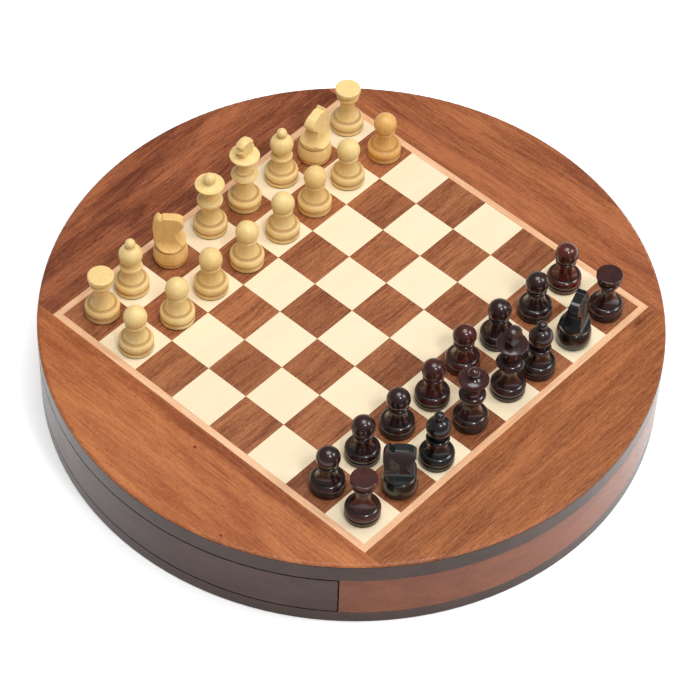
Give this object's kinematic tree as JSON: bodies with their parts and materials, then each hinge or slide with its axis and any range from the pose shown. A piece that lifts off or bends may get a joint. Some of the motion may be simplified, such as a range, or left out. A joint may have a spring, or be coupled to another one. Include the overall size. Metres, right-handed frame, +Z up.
{
  "type": "magnetic chess set",
  "caption": "Round wooden magnetic chess board with an inlaid field, a curved-front storage drawer under it, and turned light and dark pieces.",
  "frame": {"origin": "centre of the underside of the round case", "axes": "+Z up; +X from the white side to the black side; the drawer slides out towards -Y"},
  "size_m": [0.305, 0.305, 0.0888],
  "materials": {
    "case_edge_wood": "dark stained edge under gloss lacquer",
    "case_wood": "orange-brown hardwood under gloss lacquer",
    "steel": "thin bare steel sheet, hidden",
    "maple_veneer": "pale cream veneer, satin",
    "dark_veneer": "dark brown veneer with fine grain, satin",
    "strip_wood": "pinkish tan inlaid strip, satin",
    "surround_veneer": "red-brown veneer with long grain, satin lacquer",
    "drawer_front_wood": "purple-brown hardwood under gloss lacquer",
    "tray_wood": "plain planed hardwood",
    "green_felt": "dark green felt",
    "white_piece_wood": "pale yellow turned boxwood, satin, on dark green felt",
    "black_piece_wood": "near-black red-brown turned wood, gloss lacquer, on dark green felt"
  },
  "bodies": {
    "case": {"base_disc": "case_edge_wood", "cheek_white_side": "case_wood", "cheek_black_side": "case_wood", "back_block": "case_wood", "top_panel": "case_edge_wood", "steel_sheet": "steel", "light_squares": "maple_veneer", "dark_squares": "dark_veneer", "strip_white_side": "strip_wood", "strip_black_side": "strip_wood", "strip_drawer_side": "strip_wood", "strip_back_side": "strip_wood", "surround_drawer_side": "surround_veneer", "surround_back_side": "surround_veneer", "surround_white_side": "surround_veneer", "surround_black_side": "surround_veneer"},
    "drawer": {"drawer_front": "drawer_front_wood", "drawer_side_white": "tray_wood", "drawer_side_black": "tray_wood", "drawer_back": "tray_wood", "drawer_floor": "tray_wood", "drawer_divider": "tray_wood", "drawer_lining": "green_felt"},
    "white_king": {"white_king": "white_piece_wood"},
    "white_queen": {"white_queen": "white_piece_wood"},
    "white_rook_1": {"white_rook_1": "white_piece_wood"},
    "white_rook_2": {"white_rook_2": "white_piece_wood"},
    "white_bishop_1": {"white_bishop_1": "white_piece_wood"},
    "white_bishop_2": {"white_bishop_2": "white_piece_wood"},
    "white_knight_1": {"white_knight_1": "white_piece_wood"},
    "white_knight_2": {"white_knight_2": "white_piece_wood"},
    "white_pawn_1": {"white_pawn_1": "white_piece_wood"},
    "white_pawn_2": {"white_pawn_2": "white_piece_wood"},
    "white_pawn_3": {"white_pawn_3": "white_piece_wood"},
    "white_pawn_4": {"white_pawn_4": "white_piece_wood"},
    "white_pawn_5": {"white_pawn_5": "white_piece_wood"},
    "white_pawn_6": {"white_pawn_6": "white_piece_wood"},
    "white_pawn_7": {"white_pawn_7": "white_piece_wood"},
    "white_pawn_8": {"white_pawn_8": "white_piece_wood"},
    "black_king": {"black_king": "black_piece_wood"},
    "black_queen": {"black_queen": "black_piece_wood"},
    "black_rook_1": {"black_rook_1": "black_piece_wood"},
    "black_rook_2": {"black_rook_2": "black_piece_wood"},
    "black_bishop_1": {"black_bishop_1": "black_piece_wood"},
    "black_bishop_2": {"black_bishop_2": "black_piece_wood"},
    "black_knight_1": {"black_knight_1": "black_piece_wood"},
    "black_knight_2": {"black_knight_2": "black_piece_wood"},
    "black_pawn_1": {"black_pawn_1": "black_piece_wood"},
    "black_pawn_2": {"black_pawn_2": "black_piece_wood"},
    "black_pawn_3": {"black_pawn_3": "black_piece_wood"},
    "black_pawn_4": {"black_pawn_4": "black_piece_wood"},
    "black_pawn_5": {"black_pawn_5": "black_piece_wood"},
    "black_pawn_6": {"black_pawn_6": "black_piece_wood"},
    "black_pawn_7": {"black_pawn_7": "black_piece_wood"},
    "black_pawn_8": {"black_pawn_8": "black_piece_wood"}
  },
  "joints": [
    {"name": "drawer_slide", "type": "slide", "parent": "case", "child": "drawer", "axis": [0, -1, 0], "range_m": [0, 0.15]},
    {"name": "white_king_lift", "type": "slide", "parent": "case", "child": "white_king", "axis": [0, 0, 1], "range_m": [0, 0.06]},
    {"name": "white_queen_lift", "type": "slide", "parent": "case", "child": "white_queen", "axis": [0, 0, 1], "range_m": [0, 0.06]},
    {"name": "white_rook_1_lift", "type": "slide", "parent": "case", "child": "white_rook_1", "axis": [0, 0, 1], "range_m": [0, 0.06]},
    {"name": "white_rook_2_lift", "type": "slide", "parent": "case", "child": "white_rook_2", "axis": [0, 0, 1], "range_m": [0, 0.06]},
    {"name": "white_bishop_1_lift", "type": "slide", "parent": "case", "child": "white_bishop_1", "axis": [0, 0, 1], "range_m": [0, 0.06]},
    {"name": "white_bishop_2_lift", "type": "slide", "parent": "case", "child": "white_bishop_2", "axis": [0, 0, 1], "range_m": [0, 0.06]},
    {"name": "white_knight_1_lift", "type": "slide", "parent": "case", "child": "white_knight_1", "axis": [0, 0, 1], "range_m": [0, 0.06]},
    {"name": "white_knight_2_lift", "type": "slide", "parent": "case", "child": "white_knight_2", "axis": [0, 0, 1], "range_m": [0, 0.06]},
    {"name": "white_pawn_1_lift", "type": "slide", "parent": "case", "child": "white_pawn_1", "axis": [0, 0, 1], "range_m": [0, 0.06]},
    {"name": "white_pawn_2_lift", "type": "slide", "parent": "case", "child": "white_pawn_2", "axis": [0, 0, 1], "range_m": [0, 0.06]},
    {"name": "white_pawn_3_lift", "type": "slide", "parent": "case", "child": "white_pawn_3", "axis": [0, 0, 1], "range_m": [0, 0.06]},
    {"name": "white_pawn_4_lift", "type": "slide", "parent": "case", "child": "white_pawn_4", "axis": [0, 0, 1], "range_m": [0, 0.06]},
    {"name": "white_pawn_5_lift", "type": "slide", "parent": "case", "child": "white_pawn_5", "axis": [0, 0, 1], "range_m": [0, 0.06]},
    {"name": "white_pawn_6_lift", "type": "slide", "parent": "case", "child": "white_pawn_6", "axis": [0, 0, 1], "range_m": [0, 0.06]},
    {"name": "white_pawn_7_lift", "type": "slide", "parent": "case", "child": "white_pawn_7", "axis": [0, 0, 1], "range_m": [0, 0.06]},
    {"name": "white_pawn_8_lift", "type": "slide", "parent": "case", "child": "white_pawn_8", "axis": [0, 0, 1], "range_m": [0, 0.06]},
    {"name": "black_king_lift", "type": "slide", "parent": "case", "child": "black_king", "axis": [0, 0, 1], "range_m": [0, 0.06]},
    {"name": "black_queen_lift", "type": "slide", "parent": "case", "child": "black_queen", "axis": [0, 0, 1], "range_m": [0, 0.06]},
    {"name": "black_rook_1_lift", "type": "slide", "parent": "case", "child": "black_rook_1", "axis": [0, 0, 1], "range_m": [0, 0.06]},
    {"name": "black_rook_2_lift", "type": "slide", "parent": "case", "child": "black_rook_2", "axis": [0, 0, 1], "range_m": [0, 0.06]},
    {"name": "black_bishop_1_lift", "type": "slide", "parent": "case", "child": "black_bishop_1", "axis": [0, 0, 1], "range_m": [0, 0.06]},
    {"name": "black_bishop_2_lift", "type": "slide", "parent": "case", "child": "black_bishop_2", "axis": [0, 0, 1], "range_m": [0, 0.06]},
    {"name": "black_knight_1_lift", "type": "slide", "parent": "case", "child": "black_knight_1", "axis": [0, 0, 1], "range_m": [0, 0.06]},
    {"name": "black_knight_2_lift", "type": "slide", "parent": "case", "child": "black_knight_2", "axis": [0, 0, 1], "range_m": [0, 0.06]},
    {"name": "black_pawn_1_lift", "type": "slide", "parent": "case", "child": "black_pawn_1", "axis": [0, 0, 1], "range_m": [0, 0.06]},
    {"name": "black_pawn_2_lift", "type": "slide", "parent": "case", "child": "black_pawn_2", "axis": [0, 0, 1], "range_m": [0, 0.06]},
    {"name": "black_pawn_3_lift", "type": "slide", "parent": "case", "child": "black_pawn_3", "axis": [0, 0, 1], "range_m": [0, 0.06]},
    {"name": "black_pawn_4_lift", "type": "slide", "parent": "case", "child": "black_pawn_4", "axis": [0, 0, 1], "range_m": [0, 0.06]},
    {"name": "black_pawn_5_lift", "type": "slide", "parent": "case", "child": "black_pawn_5", "axis": [0, 0, 1], "range_m": [0, 0.06]},
    {"name": "black_pawn_6_lift", "type": "slide", "parent": "case", "child": "black_pawn_6", "axis": [0, 0, 1], "range_m": [0, 0.06]},
    {"name": "black_pawn_7_lift", "type": "slide", "parent": "case", "child": "black_pawn_7", "axis": [0, 0, 1], "range_m": [0, 0.06]},
    {"name": "black_pawn_8_lift", "type": "slide", "parent": "case", "child": "black_pawn_8", "axis": [0, 0, 1], "range_m": [0, 0.06]}
  ]
}
